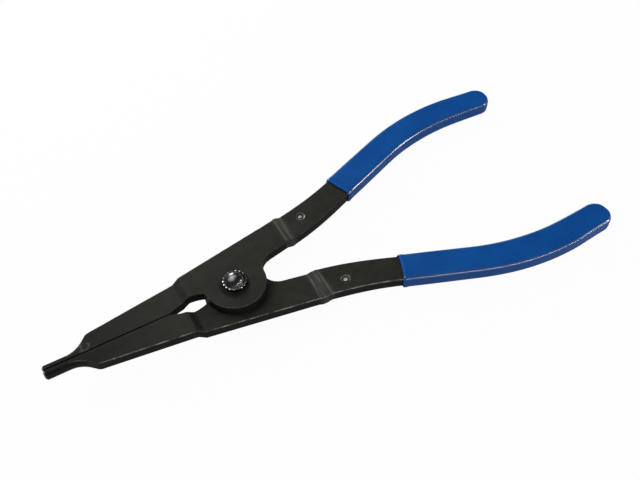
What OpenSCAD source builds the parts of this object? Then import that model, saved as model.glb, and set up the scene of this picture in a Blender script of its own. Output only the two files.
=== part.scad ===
// Reverse-action circlip and lock-ring pliers: squeezing the handles spreads the tips.
// X runs along the tool from the tips to the grips, Y across it and Z up along the pivot.
// The origin lies on the pivot axis, on the plane under the rivet's tail.

/* [Levers] */
// Thickness of the two lever stampings
plate_t = 4.5; // [3:0.1:6]
// Diameter of the round boss at the pivot
boss_d = 25.6; // [22:0.2:29]
// Play between faces that slide on each other
face_play = 0.1; // [0.05:0.05:0.3]
// Distance from the pivot to the offset bend behind the jaw
jaw_bend = 20.6; // [18:0.2:24]
// Distance from the pivot to the offset bend in the handle
handle_bend = 30.1; // [28:0.2:34]
// Length of the offset bend behind the jaw
jaw_run = 3; // [1.5:0.1:4]
// Length of the offset bend in the handle
handle_run = 3.4; // [1.5:0.1:5]
// Rounding of the offset bends
bend_r = 1.6; // [0.3:0.1:2.2]

/* [Jaws] */
// Distance from the pivot to the tips
tip_reach = 79; // [72:1:95]
// Width of one prong
prong_w = 2.4; // [1.6:0.1:3]
// Diameter that the pair of prongs is turned to
prong_d = 5.6; // [4.8:0.1:7]
// Rounding of the outer corner at each tip
tip_r = 1.1; // [0.3:0.1:1.3]
// Bevel round the end of the turned prongs
tip_bevel = 0.8; // [0.2:0.1:1]
// Distance from the pivot to the shoulder of the jaw
shoulder_reach = 60; // [52:0.5:62]
// Width of one jaw at its shoulder
shoulder_w = 7.5; // [6:0.1:10]
// Rounding of the shoulder
shoulder_r = 3.2; // [0.5:0.1:4]
// Slope of the flare between prong and shoulder, in degrees
flare_angle = 46; // [35:1:60]
// Radius of the flare where it leaves the prong
flare_r = 11; // [4:0.5:14]
// Width of one jaw at its offset bend
jaw_root_w = 12.7; // [11:0.1:16]
// Gap between the closed jaws
jaw_gap = 0.6; // [0.2:0.05:1]
// Distance from the pivot to the middle of the eye behind the jaws
eye_reach = 20; // [18:0.2:24]
// Length of the eye
eye_l = 16.4; // [12:0.2:18]
// Depth of the eye in one lever
eye_h = 1.9; // [1:0.1:3]
// Rounding at the end of the eye
eye_fillet = 1.6; // [0.8:0.1:2]

/* [Handles] */
// Place of the handle's root along the tool
root_x = 31.5; // [30:0.5:36]
// Place of the handle's root across the tool
root_y = 16; // [15:0.1:19]
// Step outward where the middle of the lever meets the handle
side_step = 0.7; // [0:0.1:1.5]
// Width of the handle at its root
root_w = 13.3; // [11:0.1:16]
// Width of the handle inside the grip
tang_w = 11.9; // [9:0.1:13]
// Direction of the handle at its root, in degrees
root_angle = 11.5; // [6:0.5:15]
// Direction of the straight stretch, in degrees
spread_angle = 21.3; // [17:0.5:26]
// Direction of the handle's end, in degrees
end_angle = -4; // [-8:0.5:6]
// Radius of the bend that leads outward
out_bend_r = 165; // [130:5:260]
// Length of the straight stretch
straight_l = 36; // [20:1:60]
// Radius of the bend that leads back
back_bend_r = 108; // [80:2:140]
// Length of the last stretch, grip included
last_l = 19.6; // [12:0.5:30]
// Radius of the hollow between boss and handle
crotch_r = 7; // [4:0.5:9]

/* [Grips] */
// Length of a grip along the handle
grip_l = 99; // [80:1:108]
// Wall of the grip beside the tang
grip_side = 0.75; // [0.5:0.05:2]
// Wall of the grip over the tang's faces
grip_face = 1.15; // [0.6:0.05:2.5]
// Narrowing of the grip on each side towards its end
grip_taper = 0.4; // [0:0.05:0.6]
// Wall of the grip past the tang's end
grip_end = 3; // [1.5:0.5:6]
// Rounding of the grip's long edges
grip_r = 1.9; // [0.8:0.1:2.4]
// Clearance round the tang in the grip
tang_clear = 0.05; // [0.02:0.01:0.2]

/* [Pivot] */
// Diameter of the rivet's shank
rivet_d = 5; // [4:0.1:7]
// Clearance on the radius between the shank and what it passes through
bore_clear = 0.05; // [0.02:0.01:0.1]
// Diameter of the rivet's round head
head_d = 8.2; // [7.5:0.1:12]
// Height of the rivet's round head
head_h = 3.1; // [2:0.1:3.7]
// Diameter of the washer under the head
head_washer_d = 10; // [9:0.1:16]
// Thickness of the washer under the head
head_washer_t = 1; // [0.6:0.1:2]
// Diameter of the rivet's flat tail
tail_d = 9; // [7.5:0.1:12]
// Height of the rivet's flat tail
tail_h = 2; // [1.2:0.1:4]
// Bevel round the edge of the tail
tail_bevel = 0.6; // [0.2:0.1:1]
// Diameter of the washer below the spring
back_washer_d = 15.4; // [14.5:0.1:20]
// Thickness of the washer below the spring
back_washer_t = 1; // [0.6:0.1:2]

/* [Return spring] */
// Diameter of the spring wire
wire_d = 1.8; // [1.2:0.1:2]
// Diameter of the sleeve inside the coil
sleeve_d = 9.6; // [8:0.1:11]
// Clearance between the coil and what it sits round or beside
coil_clear = 0.2; // [0.1:0.05:0.5]
// Gap between one turn of the coil and the next
turn_gap = 0.15; // [0.05:0.05:0.4]
// Whole turns of the coil besides the part turn between the legs
full_turns = 1; // [1:1:3]
// Radius of the hook at each end of the wire
hook_r = 2.4; // [2:0.1:4]
// Depth of the wire's ends below the faces of the handles
wire_sink = 0.4; // [0:0.05:0.8]
// Distance of the spring's hole along the handle from its root
hole_along = 9.2; // [7:0.2:18]
// Distance of the spring's hole outside the middle of the handle
hole_across = 1.1; // [-1.5:0.1:1.5]
// Diameter of the spring's hole
hole_d = 2.5; // [2.4:0.1:3.2]
// Diameter of the countersink at each end of the spring's hole
sink_d = 3.7; // [3.4:0.1:5]

/* [Hidden] */
$fn = 64;

steel_black = "#2d2d29";
steel_bright = "#c9ccd0";
grip_blue = "#14508f";

// Height of one offset bend: it brings the jaws and the handles into one plane
offset_z = (plate_t + face_play) / 2;
half_t = plate_t / 2;
boss_r = boss_d / 2;
closed_y = jaw_gap / 2;
beyond = 1;
// Curves that meet smoothly run this far into each other
tuck = 0.01;
step_r = 4;
root_r = 25;
far = 2 * (tip_reach + straight_l + last_l);

function unit(v) = v / norm(v);
function ahead(a) = [cos(a), sin(a)];
function leftward(a) = [-sin(a), cos(a)];

// Polygon with each corner replaced by an arc of its own radius
function round_corner(p, v, q, r, steps = 10) =
    r <= 0 ? [v] :
    let (to_p = unit(p - v), to_q = unit(q - v))
    let (half = acos(to_p * to_q) / 2)
    let (c = v + unit(to_p + to_q) * r / sin(half))
    let (start = v + to_p * r / tan(half) - c)
    let (sweep = 180 - 2 * half)
    let (turn = to_p[0] * to_q[1] - to_p[1] * to_q[0] > 0 ? -1 : 1)
    let (a0 = atan2(start[1], start[0]))
    [for (i = [0:steps]) c + r * ahead(a0 + turn * sweep * i / steps)];
function rounded(pts, radii) =
    let (n = len(pts))
    [for (i = [0:n - 1])
        each round_corner(pts[(i + n - 1) % n], pts[i], pts[(i + 1) % n], radii[i])];

// Middle line of the upper handle: a bend outward, a straight, a bend back and a straight
out_l = out_bend_r * (spread_angle - root_angle) * PI / 180;
back_l = back_bend_r * (spread_angle - end_angle) * PI / 180;
handle_l = out_l + straight_l + back_l + last_l;
root = [root_x, root_y];
out_end = root + out_bend_r * (leftward(root_angle) - leftward(spread_angle));
straight_end = out_end + straight_l * ahead(spread_angle);
back_end = straight_end - back_bend_r * (leftward(spread_angle) - leftward(end_angle));
function heading(s) =
    s < 0 ? root_angle :
    s < out_l ? root_angle + s / out_bend_r * 180 / PI :
    s < out_l + straight_l ? spread_angle :
    s < out_l + straight_l + back_l
        ? spread_angle - (s - out_l - straight_l) / back_bend_r * 180 / PI :
    end_angle;
function midline(s) =
    s < 0 ? root + s * ahead(root_angle) :
    s < out_l ? root + out_bend_r * (leftward(root_angle) - leftward(heading(s))) :
    s < out_l + straight_l ? out_end + (s - out_l) * ahead(spread_angle) :
    s < out_l + straight_l + back_l
        ? straight_end - back_bend_r * (leftward(spread_angle) - leftward(heading(s))) :
    back_end + (s - out_l - straight_l - back_l) * ahead(end_angle);
function beside(s, across) = midline(s) + across * leftward(heading(s));

grip_start = handle_l - grip_l;
tang_end = handle_l - grip_end;
function ease(u) = u <= 0 ? 0 : u >= 1 ? 1 : u * u * (3 - 2 * u);
function handle_half(s) = (root_w + (tang_w - root_w) * ease(s / grip_start)) / 2;

// Stations along the handle, close enough together for its bends
function stations(s0, s1, step) =
    let (n = max(2, ceil((s1 - s0) / step)))
    [for (i = [0:n]) s0 + (s1 - s0) * i / n];

// Flat outline of a stretch of the handle, grown by a clearance and ending in a half circle
module band(s0, s1, grow) {
    end_half = tang_w / 2;
    line = stations(s0, s1 - end_half, 3);
    polygon(concat(
        [for (s = line) beside(s, -handle_half(s) - grow)],
        [for (a = [-80:10:80]) midline(s1 - end_half)
            + (end_half + grow) * ahead(heading(s1 - end_half) + a)],
        [for (i = [len(line) - 1:-1:0]) beside(line[i], handle_half(line[i]) + grow)]));
}

// Circle between the boss and the inner edge of the handle, and where its tangents meet
root_inner = beside(0, -root_w / 2);
root_outer = beside(0, root_w / 2);
crotch_out = -leftward(root_angle);
step_back = -handle_run * ahead(root_angle) + side_step * crotch_out;
crotch_from = root_inner + step_back + crotch_r * crotch_out;
crotch_dot = crotch_from * ahead(root_angle);
crotch_back = -crotch_dot
    + sqrt(crotch_dot * crotch_dot - crotch_from * crotch_from + pow(boss_r - tuck + crotch_r, 2));
crotch_c = crotch_from + crotch_back * ahead(root_angle);
crotch_boss = (boss_r - tuck) * unit(crotch_c);
crotch_arms = crotch_boss - crotch_c - crotch_r * crotch_out;
crotch_meet = crotch_c + crotch_arms * 2 * crotch_r * crotch_r / (crotch_arms * crotch_arms);

// Jaw, boss side and root of one lever in plan, before the eye is cut
flare_x = -shoulder_reach - (shoulder_w - prong_w) / tan(flare_angle);
module jaw_blank() {
    polygon(rounded(
        [[-tip_reach, closed_y], [0, closed_y], crotch_boss, crotch_meet,
         root_inner + step_back, root_inner, root_outer, root_outer + step_back,
         [-jaw_bend, jaw_root_w], [-shoulder_reach, shoulder_w],
         [flare_x, prong_w], [-tip_reach, prong_w]],
        [tip_r / 2, 0, 0, crotch_r, step_r, 0, 0, step_r, root_r, shoulder_r, flare_r, tip_r]));
}

// Circle that cuts the eye, through its two ends and its deepest point
eye_r = (eye_l * eye_l / 4 + eye_h * eye_h) / (2 * eye_h);
eye_c = [-eye_reach, closed_y + eye_h - eye_r];

// Fills the corner between two curves up to a circle that touches both
module corner_fill(c, r, touch_a, touch_b) {
    difference() {
        polygon([c, touch_a, touch_a + touch_b - c, touch_b]);
        translate(c) circle(r);
    }
}

// Circle inside the eye that also touches the boss
eye_far = norm(eye_c);
eye_in = boss_r - tuck;
eye_out = eye_r + tuck;
eye_along = (pow(eye_in + eye_fillet, 2) - pow(eye_out - eye_fillet, 2) + eye_far * eye_far)
    / (2 * eye_far);
eye_side = sqrt(pow(eye_in + eye_fillet, 2) - eye_along * eye_along);
eye_way = unit(eye_c);
eye_corner = eye_along * eye_way + eye_side * [eye_way[1], -eye_way[0]];

module lever_plan() {
    difference() {
        jaw_blank();
        translate(eye_c) circle(eye_r, $fn = 128);
    }
    circle(boss_r);
    band(0, tang_end, 0);
    corner_fill(eye_corner, eye_fillet, eye_in * unit(eye_corner),
        eye_c + eye_out * unit(eye_corner - eye_c));
}

// Side view of the plate: the middle stands one offset above the jaw and the handle
module lever_side() {
    steps = [[-far, 0], [-jaw_bend - jaw_run / 2, 0], [-jaw_bend + jaw_run / 2, offset_z],
             [handle_bend - handle_run / 2, offset_z], [handle_bend + handle_run / 2, 0],
             [far, 0]];
    back = [for (i = [len(steps) - 1:-1:0]) steps[i] - [0, half_t]];
    radii = [0, bend_r, bend_r, bend_r, bend_r, 0];
    polygon(rounded(concat([for (p = steps) p + [0, half_t]], back), concat(radii, radii)));
}

// Round form that the prongs are turned to, opening with the flare
module prong_turning() {
    prong_r = prong_d / 2;
    rise = tan(flare_angle);
    rotate([0, 90, 0]) rotate_extrude()
        polygon(rounded(
            [[0, -tip_reach - beyond], [prong_r - tip_bevel - beyond, -tip_reach - beyond],
             [prong_r, -tip_reach + tip_bevel], [prong_r, flare_x],
             [prong_r + rise * far, flare_x + far], [0, flare_x + far]],
            [0, 0, 0, flare_r, 0, 0]));
}

spring_hole = beside(hole_along, hole_across);
bore_d = rivet_d + 2 * bore_clear;
module lever() {
    difference() {
        intersection() {
            translate([0, 0, -far]) linear_extrude(2 * far) lever_plan();
            translate([0, far, 0]) rotate([90, 0, 0]) linear_extrude(2 * far) lever_side();
            prong_turning();
        }
        cylinder(d = bore_d, h = 4 * plate_t, center = true);
        translate(spring_hole) {
            cylinder(d = hole_d, h = 2 * plate_t, center = true);
            for (flip = [0, 180]) rotate([flip, 0, 0])
                translate([0, 0, half_t - (sink_d - hole_d) / 2])
                    cylinder(d1 = hole_d, d2 = 2 * sink_d - hole_d, h = sink_d - hole_d);
        }
    }
}

// Heights of the stack on the rivet, from the tail up
leg_drop = wire_d / 2 + coil_clear;
hole_far = norm(spring_hole);
hole_angle = atan2(spring_hole[1], spring_hole[0]);
coil_r = sleeve_d / 2 + coil_clear + wire_d / 2;
leg_touch = hole_angle + acos(coil_r / hole_far);
wrap = 360 - 2 * leg_touch + 360 * full_turns;
coil_fall = wrap / 360 * (wire_d + turn_gap);
sleeve_l = coil_fall + 2 * leg_drop;
sleeve_z = tail_h + back_washer_t;
lever_z = sleeve_z + sleeve_l;
middle_z = lever_z + plate_t + face_play / 2;
head_washer_z = middle_z + face_play / 2 + plate_t + face_play;
head_z = head_washer_z + head_washer_t;

module upper_lever() {
    color(steel_black) translate([0, 0, middle_z]) lever();
}

module lower_lever() {
    color(steel_black) translate([0, 0, middle_z]) rotate([180, 0, 0]) lever();
}

// Skin of rings with the same number of points, closed at both ends
module skin(rings) {
    n = len(rings[0]);
    m = len(rings);
    polyhedron(
        points = [for (ring = rings) each ring],
        faces = concat(
            [[for (j = [0:n - 1]) j]],
            [for (i = [0:m - 2]) for (j = [0:n - 1]) each [
                [i * n + j, (i + 1) * n + j, i * n + (j + 1) % n],
                [i * n + (j + 1) % n, (i + 1) * n + j, (i + 1) * n + (j + 1) % n]]],
            [[for (j = [n - 1:-1:0]) (m - 1) * n + j]]));
}

// Cross-section of the grip: a rectangle with round corners, half as wide and high as given
function grip_section(w, h, r) =
    [for (k = [0:3]) for (a = [0:22.5:90])
        let (sx = k == 0 || k == 3 ? 1 : -1, sy = k < 2 ? 1 : -1)
        [sx * (w - r), sy * (h - r)] + r * ahead(90 * k + a)];

grip_half_w = tang_w / 2 + grip_side;
grip_half_h = half_t + grip_face;
function grip_ring(s, w, h, r) =
    [for (p = grip_section(w, h, r)) let (q = beside(s, p[0])) [q[0], q[1], p[1]]];
// The end of the grip is a half circle in plan, and it thins as it closes
grip_end_w = grip_half_w - grip_taper;
function grip_width(s) =
    grip_half_w - grip_taper * ease((s - handle_l + last_l + grip_end_w) / last_l);
function end_ring(a) =
    grip_ring(handle_l - grip_end_w * (1 - sin(a)), grip_end_w * cos(a),
        grip_half_h * (0.45 + 0.55 * sqrt(cos(a))), grip_r * cos(a));
module grip() {
    difference() {
        skin(concat(
            [grip_ring(grip_start, grip_half_w - 0.25, grip_half_h - 0.25, grip_r)],
            [for (s = stations(grip_start + 0.4, handle_l - grip_end_w, 3))
                grip_ring(s, grip_width(s), grip_half_h, grip_r)],
            [for (a = [12:12:84]) end_ring(a)]));
        translate([0, 0, -half_t - tang_clear]) linear_extrude(plate_t + 2 * tang_clear)
            band(grip_start - 3 * beyond, tang_end + tang_clear, tang_clear);
    }
}

module upper_grip() {
    color(grip_blue) translate([0, 0, middle_z]) grip();
}

module lower_grip() {
    color(grip_blue) translate([0, 0, middle_z]) rotate([180, 0, 0]) grip();
}

// Rivet: a flat tail below, a shank through the stack and a round head on top
module pivot_rivet() {
    ball_r = (head_d * head_d / 4 + head_h * head_h) / (2 * head_h);
    color(steel_bright) {
        cylinder(d1 = tail_d - 2 * tail_bevel, d2 = tail_d, h = tail_bevel);
        translate([0, 0, tail_bevel]) cylinder(d = tail_d, h = tail_h - tail_bevel);
        cylinder(d = rivet_d, h = head_z + head_h / 2);
        intersection() {
            translate([0, 0, head_z + head_h - ball_r]) sphere(ball_r);
            translate([0, 0, head_z]) cylinder(d = head_d, h = head_h + beyond);
        }
    }
}

module ring(outer_d, h) {
    difference() {
        cylinder(d = outer_d, h = h);
        translate([0, 0, -beyond]) cylinder(d = bore_d, h = h + 2 * beyond);
    }
}

module head_washer() {
    color(steel_bright) translate([0, 0, head_washer_z]) ring(head_washer_d, head_washer_t);
}

module back_washer() {
    color(steel_bright) translate([0, 0, tail_h]) ring(back_washer_d, back_washer_t);
}

module spring_sleeve() {
    color(steel_bright) translate([0, 0, sleeve_z]) ring(sleeve_d, sleeve_l);
}

// Wire: down from the lower handle's hole, along a leg, round the coil and out to the upper hole
wire_top = middle_z + half_t - wire_sink;
lower_leg_z = lever_z - leg_drop;
upper_leg_z = lower_leg_z - coil_fall;
function hook(side, leg_z) =
    let (p = [spring_hole[0], side * spring_hole[1]])
    let (foot = coil_r * ahead(side * leg_touch))
    let (inward = unit(foot - p))
    concat(
        [[p[0], p[1], wire_top], [p[0], p[1], (wire_top + leg_z + hook_r) / 2]],
        [for (a = [0:18:90]) let (q = p + hook_r * (1 - cos(a)) * inward)
            [q[0], q[1], leg_z + hook_r * (1 - sin(a))]],
        [for (k = [0.25:0.25:0.75]) let (q = p + inward * (hook_r + k * (norm(foot - p) - hook_r)))
            [q[0], q[1], leg_z]]);
function reversed(list) = [for (i = [len(list) - 1:-1:0]) list[i]];
coil_steps = ceil(wrap / 12);
wire_path = concat(
    hook(-1, lower_leg_z),
    [for (i = [0:coil_steps]) let (q = coil_r * ahead(-leg_touch - wrap * i / coil_steps))
        [q[0], q[1], lower_leg_z - coil_fall * i / coil_steps]],
    reversed(hook(1, upper_leg_z)));
function tangent(path, i) =
    unit(path[min(i + 1, len(path) - 1)] - path[max(i - 1, 0)]);
function squared(v, t) = unit(v - (v * t) * t);
function wire_ring(p, t, n, sides) =
    let (b = cross(t, n))
    [for (j = [0:sides - 1]) p + wire_d / 2 * (n * cos(360 * j / sides) - b * sin(360 * j / sides))];
module return_spring() {
    last = len(wire_path) - 1;
    normals = [for (i = 0, n = squared([1, 0, 0], tangent(wire_path, 0)); i <= last;
        i = i + 1, n = i <= last ? squared(n, tangent(wire_path, i)) : n) n];
    color(steel_bright)
        skin([for (i = [0:last]) wire_ring(wire_path[i], tangent(wire_path, i), normals[i], 10)]);
}

upper_lever();
lower_lever();
upper_grip();
lower_grip();
pivot_rivet();
head_washer();
back_washer();
spring_sleeve();
return_spring();
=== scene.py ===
"""Reverse-action lock-ring pliers on a pale floor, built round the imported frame."""
import math

import bmesh
import bpy
import numpy as np
from mathutils import Matrix, Vector


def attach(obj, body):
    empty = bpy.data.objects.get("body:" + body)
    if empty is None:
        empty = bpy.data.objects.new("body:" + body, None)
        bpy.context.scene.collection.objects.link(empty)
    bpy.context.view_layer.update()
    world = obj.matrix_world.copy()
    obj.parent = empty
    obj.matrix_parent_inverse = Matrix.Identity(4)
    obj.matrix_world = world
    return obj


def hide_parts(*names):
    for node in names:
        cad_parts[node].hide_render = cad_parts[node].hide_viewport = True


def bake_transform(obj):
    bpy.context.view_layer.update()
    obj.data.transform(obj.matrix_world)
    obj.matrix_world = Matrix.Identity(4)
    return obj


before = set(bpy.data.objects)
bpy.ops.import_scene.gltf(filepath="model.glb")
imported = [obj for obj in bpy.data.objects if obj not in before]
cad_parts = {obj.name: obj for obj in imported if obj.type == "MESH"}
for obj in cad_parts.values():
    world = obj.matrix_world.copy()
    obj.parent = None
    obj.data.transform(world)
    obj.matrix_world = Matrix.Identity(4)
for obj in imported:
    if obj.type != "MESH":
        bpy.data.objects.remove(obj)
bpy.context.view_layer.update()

MM = 0.001
scene = bpy.context.scene

# Sizes of the tool in millimetres, as the part's source has them
PLATE_T = 4.5
PLAY = 0.1
TAIL_H, TAIL_D, TAIL_BEVEL = 2.0, 9.0, 0.6
BACK_WASHER_T, BACK_WASHER_D = 1.0, 15.4
HEAD_WASHER_T, HEAD_WASHER_D, TEETH = 1.0, 10.0, 18
HEAD_D, HEAD_H = 8.2, 3.1
RIVET_D, BORE_D = 5.0, 5.1
SLEEVE_D = 9.6
WIRE_D, WIRE_SINK, HOOK_R = 1.8, 0.4, 2.4
COIL_CLEAR, TURN_GAP = 0.2, 0.15
HANDLE_BEND = 30.1
BEVEL_W, BEVEL_FROM = 0.3, -77.0

# Middle line of a handle: a bend outward, a straight, a bend back and a straight
ROOT = np.array([31.5, 16.0])
ROOT_ANGLE, SPREAD_ANGLE, END_ANGLE = np.radians([11.5, 21.3, -4.0])
OUT_R, STRAIGHT_L, BACK_R, LAST_L = 165.0, 36.0, 108.0, 19.6
OUT_L = OUT_R * (SPREAD_ANGLE - ROOT_ANGLE)
BACK_L = BACK_R * (SPREAD_ANGLE - END_ANGLE)
HANDLE_L = OUT_L + STRAIGHT_L + BACK_L + LAST_L
TANG_W, GRIP_L = 11.9, 99.0
GRIP_W, GRIP_H, GRIP_R, GRIP_TAPER = 6.7, 3.4, 1.9, 0.4
MOUTH_CLEAR, MOUTH_R, END_INSET = 0.05, 0.2, 0.02
HOLE_ALONG, HOLE_ACROSS = 9.2, 1.1

# Places in the plan where the levers' finish, painted shade or painted light changes, in millimetres
TIP_X = -78.2
FLARE = (-61.5, 2.2)
JAW_CREASE_X, JAW_CREASE_END_Y = -20.7, -10.4
EYE_X = -20.0
# Centre of the painted shadow round the washer, set off toward the near side
WASHER_SHADOW_CENTRE = (-0.7, -1.3)

# The floor lies a little under the grips' ends, which come down to it at this place along X
GRIP_FOOT_X, FLOOR_DROP, FLOOR_REACH = 157.4, 0.02, 1500.0


def ahead(angle):
    """Unit vector at an angle in the plan."""
    return np.stack([np.cos(angle), np.sin(angle)], -1)


def leftward(angle):
    """Unit vector a quarter turn to the left of that angle."""
    return np.stack([-np.sin(angle), np.cos(angle)], -1)


def heading(s):
    """Direction of the handle at the distance s: it changes evenly along the two bends."""
    stops = np.cumsum([0.0, OUT_L, STRAIGHT_L, BACK_L])
    return np.interp(s, stops, [ROOT_ANGLE, SPREAD_ANGLE, SPREAD_ANGLE, END_ANGLE])


def midline(s):
    """Point of the handle at the distance s: the root plus the chords of the two arcs and the
    straights, as far as each is gone."""
    s = np.asarray(s, float)
    turn = heading(s)
    first = np.clip(turn, ROOT_ANGLE, SPREAD_ANGLE)
    gone_out = s < OUT_L
    out = OUT_R * (leftward(ROOT_ANGLE) - leftward(np.where(gone_out, first, SPREAD_ANGLE)))
    straight = np.clip(s - OUT_L, 0, STRAIGHT_L)[..., None] * ahead(SPREAD_ANGLE)
    second = np.where(gone_out, SPREAD_ANGLE, turn)
    back = BACK_R * (leftward(second) - leftward(SPREAD_ANGLE))
    last = np.clip(s - OUT_L - STRAIGHT_L - BACK_L, 0, None)[..., None] * ahead(END_ANGLE)
    return ROOT + out + straight + back + last


HOLE = midline(HOLE_ALONG) + HOLE_ACROSS * leftward(heading(HOLE_ALONG))

# Heights of the stack on the rivet
COIL_R = SLEEVE_D / 2 + COIL_CLEAR + WIRE_D / 2
LEG_TOUCH = math.atan2(HOLE[1], HOLE[0]) + math.acos(COIL_R / math.hypot(*HOLE))
WRAP = 4 * math.pi - 2 * LEG_TOUCH
COIL_FALL = WRAP / (2 * math.pi) * (WIRE_D + TURN_GAP)
LEG_DROP = WIRE_D / 2 + COIL_CLEAR
SLEEVE_Z = TAIL_H + BACK_WASHER_T
LEVER_Z = SLEEVE_Z + COIL_FALL + 2 * LEG_DROP
MIDDLE_Z = LEVER_Z + PLATE_T + PLAY / 2
HEAD_WASHER_Z = MIDDLE_Z + PLATE_T + 1.5 * PLAY
HEAD_Z = HEAD_WASHER_Z + HEAD_WASHER_T


class Shade:
    """One socket of a node tree: arithmetic adds Math nodes, and node() adds any other."""

    def __init__(self, tree, socket=None):
        self.tree = tree
        self.socket = socket

    def node(self, kind, settings=None, inputs=None, output=0):
        """A node of that type, its settings made first and its sockets then given values or links."""
        made = self.tree.nodes.new(kind)
        for key, value in (settings or {}).items():
            setattr(made, key, value)
        for key, value in (inputs or {}).items():
            if isinstance(value, Shade):
                self.tree.links.new(value.socket, made.inputs[key])
            else:
                made.inputs[key].default_value = value
        return Shade(self.tree, made.outputs[output] if made.outputs else None)

    def maths(self, operation, *values):
        """A Math node of that operation on the values."""
        return self.node("ShaderNodeMath", {"operation": operation}, dict(enumerate(values)))

    def __add__(self, other):
        return self.maths("ADD", self, other)

    __radd__ = __add__

    def __sub__(self, other):
        return self.maths("SUBTRACT", self, other)

    def __rsub__(self, other):
        return self.maths("SUBTRACT", other, self)

    def __mul__(self, other):
        return self.maths("MULTIPLY", self, other)

    __rmul__ = __mul__

    def __pow__(self, other):
        return self.maths("POWER", self, other)

    def __abs__(self):
        return self.maths("ABSOLUTE", self)

    def between(self, low, high):
        """0 at low and 1 at high with soft ends, also where low is the larger one."""
        return self.node(
            "ShaderNodeMapRange",
            {"interpolation_type": "SMOOTHSTEP"},
            {"Value": self, "From Min": low, "From Max": high},
        )

    def close_to(self, middle, none, full):
        """1 within the distance full of the middle and 0 beyond the distance none."""
        return abs(self - middle).between(none, full)

    def mix(self, low, high):
        """The colour low where this is 0 and high where it is 1."""
        return self.node(
            "ShaderNodeMix",
            {"data_type": "RGBA"},
            {"Factor": self, 6: low, 7: high},
            2,
        )


class Finish:
    """A material under way: its tree, its shader and its object coordinates, x and y in millimetres."""

    def __init__(self, name):
        self.material = bpy.data.materials.new(name)
        self.material.use_nodes = True
        tree = self.material.node_tree
        self.shader = tree.nodes["Principled BSDF"]
        self.start = Shade(tree)
        self.place = self.start.node("ShaderNodeTexCoord", output="Object")
        self.x = self.start.node("ShaderNodeSeparateXYZ", None, {0: self.place}, "X") * (1 / MM)
        self.y = self.start.node("ShaderNodeSeparateXYZ", None, {0: self.place}, "Y") * (1 / MM)

    def layer(self, name):
        """The values of an attribute that the mesh carries."""
        return self.start.node("ShaderNodeAttribute", {"attribute_name": name}, output="Fac")

    def noise(self, scale, detail, rough, stretch=(1, 1, 1)):
        """Noise from 0 to 1, with its grain drawn out along an axis where stretch is small."""
        where = self.start.node("ShaderNodeMapping", None, {"Vector": self.place, "Scale": stretch})
        return self.start.node(
            "ShaderNodeTexNoise",
            None,
            {"Vector": where, "Scale": scale, "Detail": detail, "Roughness": rough},
        )

    def bump(self, height, distance, strength):
        """A normal that follows a height, whose full swing is the distance in metres."""
        return self.start.node(
            "ShaderNodeBump", None, {"Height": height, "Distance": distance, "Strength": strength}
        )

    def feed(self, **inputs):
        """Sets or links the shader's sockets, whose names are given with _ for a space."""
        for key, value in inputs.items():
            socket = self.shader.inputs[key.replace("_", " ")]
            if isinstance(value, Shade):
                self.material.node_tree.links.new(value.socket, socket)
            else:
                socket.default_value = value
        return self.material


def grey(value, warm=0.0):
    """A linear grey, a little yellower where warm is above 0."""
    return (value, value, value * (1 - warm), 1)


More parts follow.
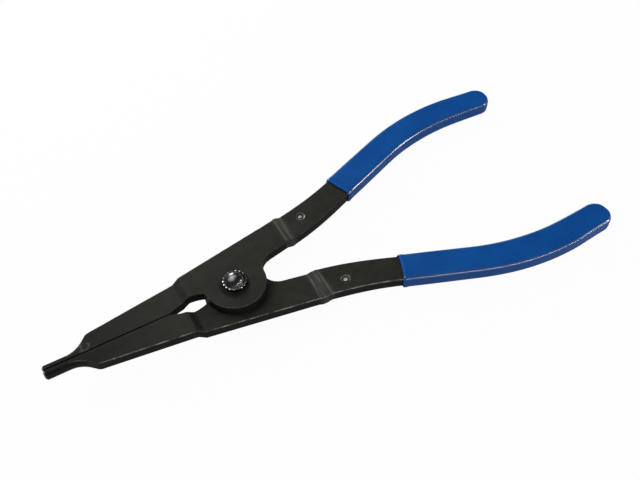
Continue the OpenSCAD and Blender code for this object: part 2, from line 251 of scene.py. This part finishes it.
def black_oxide():
    """Satin black oxide: cloudy, with rolled grain, jaws darker toward their tips, rubbed lines on
    the handles' bends and a rubbed upper flare. Painted light and shade too: painted shade on the
    cut walls, the lower jaw's bend, round the washer and in the eye; the handles' bends painted
    lighter; painted glints on the tips and a painted highlight round the countersinks."""
    f = Finish("black_oxide")
    cloud = f.noise(160, 5, 0.6)
    grain = f.noise(900, 3, 0.6, (0.25, 1, 1))
    speck = f.noise(5200, 2, 0.6)
    tone = (cloud * 0.5 + grain * 0.3 + speck * 0.2).between(0.3, 0.7)
    flat = tone.mix(grey(0.0145, 0.17), grey(0.024, 0.17))
    # Jaws darker toward their tips
    darker_to_tips = f.x.between(-22, -72).mix(flat, grey(0.0092, 0.14))

    # Painted shade along the lower jaw's bend, and painted shade that makes the cut walls darker
    crease_y = f.y.between(0, -0.5) * f.y.between(JAW_CREASE_END_Y - 2.2, JAW_CREASE_END_Y)
    crease_shade = f.x.close_to(JAW_CREASE_X, 1.6, 0.4) * crease_y
    crease_shaded = crease_shade.mix(darker_to_tips, grey(0.0115, 0.14))
    cut = f.layer("cut_wall")
    walls_shaded = cut.mix(crease_shaded, grey(0.011, 0.16))

    # Black rubbed thin in lines on the handles' bends and on the upper flare. The bends are also painted
    # lighter all across, a painted light, and the tips get painted glints
    lines = f.noise(420, 2, 0.7, (3, 0.15, 1)).between(0.42, 0.66)
    ramp = f.x.close_to(HANDLE_BEND, 3.6, 1.6)
    flare = f.x.close_to(FLARE[0], 5, 0.5) * f.y.close_to(FLARE[1], 3, 0.4)
    worn = f.noise(500, 3, 0.6).between(0.45, 0.62)
    rubbed_and_lit = ramp * (0.14 + 0.5 * lines) + 0.5 * flare * worn
    bare_and_lit = rubbed_and_lit.mix(walls_shaded, grey(0.12, 0.1))
    # Painted glints: bright flecks on the ends of the tips
    glint_flecks = f.noise(1300, 2, 0.6).between(0.5, 0.58)
    tip = f.x.between(TIP_X, TIP_X - 0.6)
    glinting_tips = (tip * glint_flecks).mix(bare_and_lit, grey(0.55, 0.06))

    # Painted highlight: a bright ring on the countersink round each spring hole
    away = (f.x - HOLE[0]) ** 2.0 + (abs(f.y) - HOLE[1]) ** 2.0
    sink_highlight = away.between(1.95**2, 1.85**2) * away.between(1.55**2, 1.7**2)
    plain = sink_highlight.mix(glinting_tips, grey(0.9, 0.04))

    # Painted shade: a shadow round the washer, set toward the near side, and shade on the eye's inner
    # walls
    from_washer = (f.x - WASHER_SHADOW_CENTRE[0]) ** 2.0 + (f.y - WASHER_SHADOW_CENTRE[1]) ** 2.0
    washer_shadow = from_washer.between(7.0**2, 5.2**2)
    eye_shade = f.x.close_to(EYE_X, 9.5, 7.5) * abs(f.y).between(5, 4) * cut
    painted_shade = f.start.maths("MAXIMUM", washer_shadow, eye_shade)
    return f.feed(
        Base_Color=painted_shade.mix(plain, grey(0.0045, 0.1)),
        Roughness=0.5 + 0.14 * cloud - 0.1 * rubbed_and_lit - 0.18 * sink_highlight,
        Metallic=0.05 + 0.5 * sink_highlight,
        Specular_IOR_Level=0.06,
        Normal=f.bump(grain * 0.5 + speck * 0.5, 0.00004, 0.35),
    )


def rubbed_edge():
    """Edge where the black is rubbed thin and the steel starts to show, in patches, most along
    the lever's outer side."""
    f = Finish("rubbed_edge")
    patch = f.noise(220, 4, 0.65).between(0.38, 0.66)
    nick = f.noise(1600, 3, 0.6).between(0.5, 0.75)
    outer = f.layer("outer_side").between(-0.1, 0.3)
    shank = f.x.between(-62, -55)
    tone = (patch * 0.65 + nick * 0.35) * (0.12 + 0.88 * outer * (0.25 + 0.75 * shank))
    return f.feed(
        Base_Color=tone.mix(grey(0.02, 0.14), grey(0.36, 0.08)),
        Roughness=0.46 - 0.12 * tone,
        Metallic=0.2 + 0.4 * tone,
        Specular_IOR_Level=0.1,
    )


def dipped_vinyl():
    """Glossy dipped vinyl: an even blue, a faint orange peel and long runs from the dip. The film
    is drawn tight over the long edges and shines most there."""
    f = Finish("dipped_vinyl")
    tight = f.layer("tight_film")
    cloud = f.noise(70, 3, 0.5)
    peel = f.noise(700, 2, 0.5)
    runs = f.noise(120, 2, 0.5, (0.2, 1, 1))
    dust = f.noise(3800, 2, 0.6).between(0.68, 0.8)
    colour = cloud.between(0.3, 0.7).mix((0.0025, 0.056, 0.235, 1), (0.0034, 0.067, 0.268, 1))
    return f.feed(
        Base_Color=dust.mix(colour, (0.01, 0.085, 0.27, 1)),
        Roughness=0.34 + 0.1 * cloud,
        Specular_IOR_Level=0.08,
        Coat_Weight=tight * (0.75 + 0.25 * cloud),
        Coat_Roughness=0.2,
        Coat_IOR=2.2,
        Normal=f.bump(peel * 0.35 + runs * 0.65, 0.00004, 0.5),
    )


def zinc_plate(name, low, high, smooth):
    """Zinc plate between two greys: faint clouds, turned lines and small dents."""
    f = Finish(name)
    cloud = f.noise(420, 4, 0.6)
    dent = f.noise(900, 2, 0.5)
    fine = f.noise(4200, 3, 0.6)
    return f.feed(
        Base_Color=cloud.between(0.3, 0.7).mix(grey(low, 0.02), grey(high, 0.0)),
        Roughness=smooth + 0.16 * cloud,
        Metallic=1.0,
        Normal=f.bump(dent * 0.7 + fine * 0.3, 0.00008, 0.5),
    )


def toothed_zinc():
    """Dull dark plate of the toothed washer, with painted glints: bright patches on the teeth's crests.
    """
    f = Finish("toothed_zinc")
    cloud = f.noise(420, 4, 0.6)
    around = f.start.maths("ARCTAN2", f.y, f.x)
    crest = f.start.maths("COSINE", around * TEETH).between(0.2, 0.9)
    patch = f.noise(380, 2, 0.5).between(0.45, 0.6)
    rim = (f.x**2.0 + f.y**2.0).between(4.4**2, 4.75**2)
    # Painted glints on the teeth's crests
    tooth_glints = crest * patch * rim
    dull = cloud.between(0.3, 0.7).mix(grey(0.02, 0.1), grey(0.06, 0.06))
    return f.feed(
        Base_Color=tooth_glints.mix(dull, grey(0.85, 0.03)),
        Roughness=0.16 + 0.16 * cloud,
        Metallic=1.0,
    )


def spring_wire():
    """Drawn spring wire: grey, oiled, with long die lines."""
    f = Finish("spring_wire")
    cloud = f.noise(300, 4, 0.6)
    lines = f.noise(2400, 2, 0.6, (0.08, 0.08, 1))
    return f.feed(
        Base_Color=cloud.between(0.3, 0.7).mix(grey(0.28, 0.03), grey(0.5, 0.02)),
        Roughness=0.26 + 0.2 * lines,
        Metallic=1.0,
        Normal=f.bump(lines, 0.00005, 0.4),
    )


def skin(name, rings, material, wrapped=False, capped=True, tight=None):
    """Mesh over rings of points in millimetres, rings[i, j]: quads between ring i and the next.

    Each ring is closed round j. The first and last rings are faced over, unless they are points
    or the rings themselves close on the first one. tight, if given, is how tightly the film is
    drawn at each point.
    """
    rows, sides = rings.shape[:2]
    i, j = np.meshgrid(np.arange(rows if wrapped else rows - 1), np.arange(sides), indexing="ij")
    beside, after = (j + 1) % sides, (i + 1) % rows
    quads = np.stack([i * sides + j, i * sides + beside, after * sides + beside, after * sides + j], -1)
    faces = quads.reshape(-1, 4).tolist()
    if capped and not wrapped:
        faces.append(list(range(sides))[::-1])
        faces.append(list(range((rows - 1) * sides, rows * sides)))
    mesh = bpy.data.meshes.new(name)
    mesh.from_pydata((rings.reshape(-1, 3) * MM).tolist(), [], faces)
    if tight is not None:
        write_layer(mesh, "tight_film", "POINT", tight)
    return finished(name, mesh, material)


def write_layer(mesh, name, domain, values):
    """Attribute of a mesh, with one value for each of its points or faces."""
    layer = mesh.attributes.new(name, "FLOAT", domain)
    layer.data.foreach_set("value", values.astype(np.float32).ravel())


def directions(elements):
    """Outward directions of a mesh's points or faces, one to a row."""
    flat = np.empty(len(elements) * 3, np.float32)
    elements.foreach_get("normal", flat)
    return flat.reshape(-1, 3)


def finished(name, mesh, *materials, sharp=math.radians(32)):
    """Object of a mesh with doubles merged, faces outward, smooth faces and sharp creases."""
    work = bmesh.new()
    work.from_mesh(mesh)
    bmesh.ops.remove_doubles(work, verts=work.verts, dist=1e-6)
    bmesh.ops.recalc_face_normals(work, faces=work.faces)
    work.to_mesh(mesh)
    work.free()
    mesh.polygons.foreach_set("use_smooth", np.ones(len(mesh.polygons), bool))
    mesh.set_sharp_from_angle(angle=sharp)
    for material in materials:
        mesh.materials.append(material)
    piece = bpy.data.objects.new(name, mesh)
    scene.collection.objects.link(piece)
    return piece


def settle(piece, node, body):
    """The piece stands for a CAD node, which it hides, and goes with the node's body."""
    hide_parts(node)
    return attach(piece, body)


def turned(name, profile, material, sides=128, wrapped=False, ripple=None):
    """Surface of revolution: a profile of radius and height, carried round the pivot axis.

    ripple, if given, takes the grids of radius, height and angle and returns new radii and heights.
    """
    angle = np.linspace(0, 2 * math.pi, sides, endpoint=False)
    radius = np.repeat(profile[:, :1], sides, 1)
    height = np.repeat(profile[:, 1:], sides, 1)
    if ripple:
        radius, height = ripple(radius, height, angle[None, :])
    rings = np.stack([radius * np.cos(angle), radius * np.sin(angle), height], -1)
    return skin(name, rings, material, wrapped, capped=False)


def rounded_profile(corners, radii, steps=6):
    """Profile through corners in order, each rounded by a quadratic curve that starts and ends
    its radius away from the corner."""
    corners = np.array(corners, float)
    before = corners[1:-1] - corners[:-2]
    after = corners[2:] - corners[1:-1]
    reach = np.array(radii, float)[:, None]
    start = corners[1:-1] - before / np.linalg.norm(before, axis=1, keepdims=True) * reach
    stop = corners[1:-1] + after / np.linalg.norm(after, axis=1, keepdims=True) * reach
    t = np.linspace(0, 1, steps)[None, :, None]
    bends = (1 - t) ** 2 * start[:, None] + 2 * t * (1 - t) * corners[1:-1, None] + t**2 * stop[:, None]
    return np.concatenate([corners[:1], bends.reshape(-1, 2), corners[-1:]])


def bevelled_lever(node, body, side, steel, edge):
    """Copy of a lever, merged, with its flat faces joined up and its sharp edges broken. Its faces
    know whether they are cut walls, and its points how far they face outward, which is along Y
    where side is 1 and against it where side is -1."""
    work = bmesh.new()
    work.from_mesh(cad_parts[node].data)
    bmesh.ops.remove_doubles(work, verts=work.verts, dist=2e-6)
    bmesh.ops.dissolve_limit(work, angle_limit=math.radians(0.5), verts=work.verts, edges=work.edges)
    weight = work.edges.layers.float.new("bevel_weight_edge")
    for rim in work.edges:
        clear_of_tip = min(corner.co.x for corner in rim.verts) > BEVEL_FROM * MM
        rim[weight] = float(clear_of_tip and rim.calc_face_angle(0) > math.radians(40))
    mesh = bpy.data.meshes.new(node + "_steel")
    work.to_mesh(mesh)
    work.free()
    piece = finished(node + "_steel", mesh, steel, edge)
    write_layer(mesh, "cut_wall", "FACE", abs(directions(mesh.polygons)[:, 2]) < 0.5)
    write_layer(mesh, "outer_side", "POINT", side * directions(mesh.vertices)[:, 1])
    bevel = piece.modifiers.new("broken_edge", "BEVEL")
    bevel.width = BEVEL_W * MM
    bevel.segments = 3
    bevel.limit_method = "WEIGHT"
    bevel.use_clamp_overlap = False
    bevel.material = 1
    bevel.harden_normals = True
    return settle(piece, node, body)


def grip_section(u, half_w, half_h, r):
    """Round-cornered rectangle: a core rectangle's edge point plus r times a unit vector that
    makes a quarter turn at each corner. u goes once round in eight equal stretches."""
    knots = np.arange(9) / 8
    turn = np.interp(u, knots, np.radians([0, 90, 90, 180, 180, 270, 270, 360, 360]))
    core_w = np.interp(u, knots, [1, 1, -1, -1, -1, -1, 1, 1, 1])
    core_h = np.interp(u, knots, [1, 1, 1, 1, -1, -1, -1, -1, 1])
    across = core_w * (half_w - r) + r * np.cos(turn)
    up = core_h * (half_h - r) + r * np.sin(turn)
    return across, up, turn


def grip(node, body, side, vinyl):
    """Dipped grip: sections carried along the handle's middle line, out of the hollow, over the
    rolled lip and along to an end that closes in a half circle. side is 1 above and -1 below."""
    u = np.arange(128)[None, :] / 128
    mouth = HANDLE_L - GRIP_L
    full_end = HANDLE_L - (GRIP_W - GRIP_TAPER)
    lip = np.radians(np.linspace(-90, 90, 9))
    along = np.linspace(1.2, full_end - mouth, 90)
    close = np.radians(np.linspace(3, 89, 30))
    wall_w, wall_h = GRIP_W - TANG_W / 2, GRIP_H - PLATE_T / 2

    # Distance from the mouth, half sizes and corner radius, row by row
    ease = np.clip((along + mouth - HANDLE_L + LAST_L + GRIP_W - GRIP_TAPER) / LAST_L, 0, 1)
    body_w = GRIP_W - GRIP_TAPER * ease**2 * (3 - 2 * ease)
    end_w = GRIP_W - GRIP_TAPER
    to_end = np.minimum(end_w * (1 - np.sin(close)), GRIP_R)
    end_h = GRIP_H - GRIP_R + np.sqrt(GRIP_R**2 - (GRIP_R - to_end) ** 2)
    s = np.concatenate([
        [4.0, 1.0],
        0.5 - 0.5 * np.cos(lip),
        along,
        full_end - mouth + (end_w - END_INSET) * np.sin(close),
    ])
    swell = 0.5 + 0.5 * np.sin(lip)
    half_w = np.concatenate([
        [TANG_W / 2 + MOUTH_CLEAR] * 2,
        TANG_W / 2 + MOUTH_CLEAR + (wall_w - MOUTH_CLEAR) * swell,
        body_w,
        end_w * np.cos(close),
    ])
    half_h = np.concatenate([
        [PLATE_T / 2 + MOUTH_CLEAR] * 2,
        PLATE_T / 2 + MOUTH_CLEAR + (wall_h - MOUTH_CLEAR) * swell,
        np.full(len(along), GRIP_H),
        end_h,
    ])
    corner = np.concatenate([
        [MOUTH_R] * 2,
        MOUTH_R + (GRIP_R - MOUTH_R) * swell,
        np.full(len(along), GRIP_R),
        np.full(len(close), GRIP_R),
    ])
    corner = np.minimum(corner, 0.98 * np.minimum(half_w, half_h))
    outer = np.arange(len(s)) > 5

    # Bead and waves at the mouth, a slight sag, and the film drawn tight over the long edges
    bead = np.where(outer, 0.16 * np.exp(-(((s - 1.1) / 0.9) ** 2)), 0)
    wave = 0.22 * np.sin(4 * math.pi * u + 0.7 * side) + 0.12 * np.sin(6 * math.pi * u + 2)
    fade = np.exp(-((s / 2.5) ** 2))[:, None]
    across, up, turn = grip_section(
        u, (half_w + bead)[:, None], (half_h + bead)[:, None], corner[:, None])
    sag = 0.05 * np.sin(s / 7.0)[:, None] * np.cos(2 * math.pi * u)
    spot = s[:, None] + mouth + fade * wave
    plan = midline(spot) + (across + sag * (half_w > 5)[:, None])[..., None] * leftward(heading(spot))
    rings = np.stack([plan[..., 0], side * plan[..., 1], MIDDLE_Z + side * up], -1)
    edge = 1.6 * np.exp(-(((np.abs(np.cos(turn)) - 0.6) / 0.22) ** 2))
    tight = edge.clip(0, 1) * ((half_w > 1.5) & outer)[:, None]
    return settle(skin(node + "_dipped", rings, vinyl, tight=tight), node, body)


def rivet(zinc):
    """Pivot rivet: a flat tail with a peened hollow, the shank and a round head, turned in one."""
    ball = (HEAD_D**2 / 4 + HEAD_H**2) / (2 * HEAD_H)
    rise = np.linspace(math.asin(HEAD_D / 2 / ball), 0, 40)
    dome = np.stack([ball * np.sin(rise), HEAD_Z + HEAD_H - ball + ball * np.cos(rise)], -1)
    lower = rounded_profile(
        [(0, 0.35), (1.4, 0.3), (2.1, 0), (TAIL_D / 2 - TAIL_BEVEL, 0), (TAIL_D / 2, TAIL_BEVEL),
         (TAIL_D / 2, TAIL_H), (RIVET_D / 2, TAIL_H), (RIVET_D / 2, HEAD_Z), (HEAD_D / 2 - 0.05, HEAD_Z)],
        [0.3, 0.3, 0.2, 0.2, 0.15, 0.05, 0.05])

    def hammered(radius, height, angle):
        dents = np.sin(5 * angle + 3 * height) * np.cos(3 * angle - 5 * radius)
        return radius * (1 - 0.004 * (1 + dents) * (height > HEAD_Z + 0.2)), height

    profile = np.concatenate([lower, dome])
    piece = turned("pivot_rivet_zinc", profile, zinc, ripple=hammered)
    return settle(piece, "pivot_rivet", "lower_arm")


def ring_profile(inner, outer, low, high, r):
    """Closed profile of a flat ring with its four edges broken by r."""
    start = ((inner + outer) / 2, low)
    loop = [start, (outer, low), (outer, high), (inner, high), (inner, low), start]
    return rounded_profile(loop, [r] * 4)[:-1]


def washers(zinc, toothed_plate):
    """Washer under the head with a toothed rim, washer below the spring and the sleeve in it."""
    def toothed(radius, height, angle):
        rim = np.clip((radius - 3.9) / 1.1, 0, 1)
        tooth = np.cos(TEETH * angle)
        twist = 1 + np.sin(TEETH * angle)
        upper = height > HEAD_WASHER_Z + HEAD_WASHER_T / 2
        return radius - rim * 0.12 * (1 - tooth), height - rim * 0.06 * twist * upper

    head = turned(
        "head_washer_zinc",
        ring_profile(BORE_D / 2, HEAD_WASHER_D / 2, HEAD_WASHER_Z, HEAD_Z, 0.18),
        toothed_plate, sides=288, wrapped=True, ripple=toothed)
    back = turned(
        "back_washer_zinc",
        ring_profile(BORE_D / 2, BACK_WASHER_D / 2, TAIL_H, SLEEVE_Z, 0.2),
        zinc, wrapped=True)
    sleeve = turned(
        "spring_sleeve_zinc",
        ring_profile(BORE_D / 2, SLEEVE_D / 2, SLEEVE_Z, LEVER_Z, 0.25),
        zinc, wrapped=True)
    for piece, node in ((head, "head_washer"), (back, "back_washer"), (sleeve, "spring_sleeve")):
        settle(piece, node, "lower_arm")


def hook(side, leg_z):
    """Path of one end of the wire and its heading in the plan: down from the handle's hole, a
    quarter circle and a straight leg that touches the coil. side is 1 above and -1 below."""
    top = np.array([HOLE[0], side * HOLE[1]])
    foot = COIL_R * ahead(side * LEG_TOUCH)
    inward = (foot - top) / np.linalg.norm(foot - top)
    wire_top = MIDDLE_Z + PLATE_T / 2 - WIRE_SINK
    fall = np.linspace(wire_top, leg_z + HOOK_R, 8)[:-1]
    turn = np.linspace(0, math.pi / 2, 14)
    gone = np.linspace(HOOK_R, np.linalg.norm(foot - top), 20)[1:-1]
    out = np.concatenate([np.zeros(7), HOOK_R * (1 - np.cos(turn)), gone])
    up = np.concatenate([fall, leg_z + HOOK_R * (1 - np.sin(turn)), np.full(18, leg_z)])
    plan = top + out[:, None] * inward
    return np.column_stack([plan, up]), np.repeat(inward[None, :], len(out), 0)


def spring(wire):
    """Return spring: a round section carried along a hook, the coil and the other hook."""
    lower_z = LEVER_Z - LEG_DROP
    first, first_way = hook(-1, lower_z)
    last, last_way = hook(1, lower_z - COIL_FALL)
    turn = np.linspace(0, WRAP, 150)
    coil = np.column_stack([COIL_R * ahead(-LEG_TOUCH - turn), lower_z - COIL_FALL * turn / WRAP])
    coil_way = -leftward(-LEG_TOUCH - turn)
    path = np.concatenate([first, coil, last[::-1]])
    way = np.concatenate([first_way, coil_way, -last_way[::-1]])
    tangent = np.gradient(path, axis=0)
    tangent /= np.linalg.norm(tangent, axis=1, keepdims=True)
    aside = np.column_stack([-way[:, 1], way[:, 0], np.zeros(len(way))])
    over = np.cross(tangent, aside)
    over /= np.linalg.norm(over, axis=1, keepdims=True)
    around = np.linspace(0, 2 * math.pi, 24, endpoint=False)[None, :, None]
    rings = path[:, None] + WIRE_D / 2 * (
        np.cos(around) * aside[:, None] + np.sin(around) * over[:, None])
    cut = np.array([0.0, 0.0, -0.12])
    ends = [path[k] + 0.82 * (rings[k] - path[k]) for k in (0, -1)]
    rings[0] += cut
    rings[-1] += cut
    rings = np.concatenate([ends[:1], rings, ends[1:]])
    piece = skin("return_spring_wire", rings, wire)
    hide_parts("return_spring")
    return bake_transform(piece)


def pale_floor():
    """Floor through the edge of the rivet's tail and the undersides of the grips' ends. It is
    white to the camera and in reflections, with the object's soft shadow kept on it."""
    front = TAIL_D / 2 - TAIL_BEVEL
    rise = (MIDDLE_Z - GRIP_H) / (GRIP_FOOT_X - front)
    sides = [-FLOOR_REACH, FLOOR_REACH]
    x, y = np.meshgrid(sides, sides, indexing="ij")
    corners = np.stack([x, y, (x - front) * rise - FLOOR_DROP], -1).reshape(-1, 3) * MM
    mesh = bpy.data.meshes.new("floor")
    mesh.from_pydata(corners.tolist(), [], [(0, 2, 3, 1)])
    floor = bpy.data.objects.new("floor", mesh)
    scene.collection.objects.link(floor)
    f = Finish("pale_paper")
    paper = f.noise(60, 3, 0.5).mix(grey(0.63), grey(0.67))
    f.feed(Base_Color=paper, Roughness=0.9, Specular_IOR_Level=0.1)
    path = f.start.node("ShaderNodeLightPath").socket.node.outputs
    mirrored = f.start.maths("MAXIMUM", Shade(f.start.tree, path["Is Glossy Ray"]),
                             Shade(f.start.tree, path["Is Transmission Ray"]))
    seen = f.start.maths("MAXIMUM", 0.97 * Shade(f.start.tree, path["Is Camera Ray"]), 0.3 * mirrored)
    white = f.start.node("ShaderNodeEmission", None, {"Color": (1, 1, 1, 1), "Strength": 1.0})
    lit = Shade(f.start.tree, f.shader.outputs[0])
    both = f.start.node("ShaderNodeMixShader", None, {0: seen, 1: lit, 2: white})
    f.material.node_tree.links.new(
        both.socket, f.material.node_tree.nodes["Material Output"].inputs["Surface"])
    mesh.materials.append(f.material)


def soft_lamp(name, spot, aim, size, power):
    """Oblong soft lamp at a spot in millimetres, turned to face the aim, its size along X first."""
    lamp = bpy.data.lights.new(name, "AREA")
    lamp.shape = "RECTANGLE"
    lamp.size, lamp.size_y = size[0] * MM, size[1] * MM
    lamp.energy = power
    holder = bpy.data.objects.new(name, lamp)
    holder.location = Vector(spot) * MM
    holder.rotation_euler = (Vector(aim) - Vector(spot)).to_track_quat("-Z", "Y").to_euler()
    scene.collection.objects.link(holder)


def studio():
    """Dim pale room, a wide soft lamp over the far left with a brighter core, two low lamps behind,
    and on the near side a long strip, an upright one at the right and a faint one close to the floor."""
    world = bpy.data.worlds.new("pale_room")
    world.use_nodes = True
    scene.world = world
    room = world.node_tree.nodes["Background"]
    room.inputs["Color"].default_value = (1.0, 1.0, 1.0, 1)
    room.inputs["Strength"].default_value = 0.12
    soft_lamp("far_upper", (-190, 270, 545), (30, 0, 10), (1000, 1000), 4.0)
    soft_lamp("far_upper_core", (-180, 260, 525), (30, 0, 10), (420, 420), 1.1)
    soft_lamp("far_low", (15, 560, 225), (0, 0, 15), (230, 110), 1.4)
    soft_lamp("far_left_low", (-30, 590, 90), (0, 0, 15), (60, 60), 0.17)
    soft_lamp("near_strip", (315, -520, 200), (315, 0, 15), (670, 22), 0.9)
    soft_lamp("near_right", (600, -330, 220), (90, 35, 15), (80, 200), 0.8)
    soft_lamp("near_low", (-80, -620, 80), (-80, 0, 15), (320, 20), 0.16)
    scene.view_settings.view_transform = "Standard"


def photo_camera():
    """Camera of the photograph: its bearing, height and roll round the target, and its lens."""
    azimuth, elevation, roll = np.radians([-29.973, 51.036, 0.35])
    distance, focal_pixels, image_pixels, film = 326.81, 770.78, 640, 36.0
    target = np.array([41.965, 4.971, MIDDLE_Z])
    flat = math.cos(elevation)
    back = np.array([math.sin(azimuth) * flat, -math.cos(azimuth) * flat, math.sin(elevation)])
    right = np.array([math.cos(azimuth), math.sin(azimuth), 0.0])
    up = np.cross(back, right)
    right, up = (math.cos(roll) * right + math.sin(roll) * up,
                 math.cos(roll) * up - math.sin(roll) * right)
    lens = bpy.data.cameras.new("photo_camera")
    lens.sensor_width = film
    lens.lens = focal_pixels / image_pixels * film
    lens.clip_start = 0.01
    lens.clip_end = 20.0
    camera = bpy.data.objects.new("photo_camera", lens)
    camera.matrix_world = Matrix(np.column_stack([right, up, back]).tolist()).to_4x4()
    camera.location = Vector((target + distance * back) * MM)
    scene.collection.objects.link(camera)
    scene.camera = camera


photo_camera()
studio()
pale_floor()
steel = black_oxide()
worn_edge = rubbed_edge()
vinyl = dipped_vinyl()
zinc = zinc_plate("bright_zinc", 0.09, 0.17, 0.12)
bevelled_lever("upper_lever", "upper_arm", 1, steel, worn_edge)
bevelled_lever("lower_lever", "lower_arm", -1, steel, worn_edge)
grip("upper_grip", "upper_arm", 1, vinyl)
grip("lower_grip", "lower_arm", -1, vinyl)
rivet(zinc)
washers(zinc, toothed_zinc())
spring(spring_wire())

bpy.context.view_layer.update()
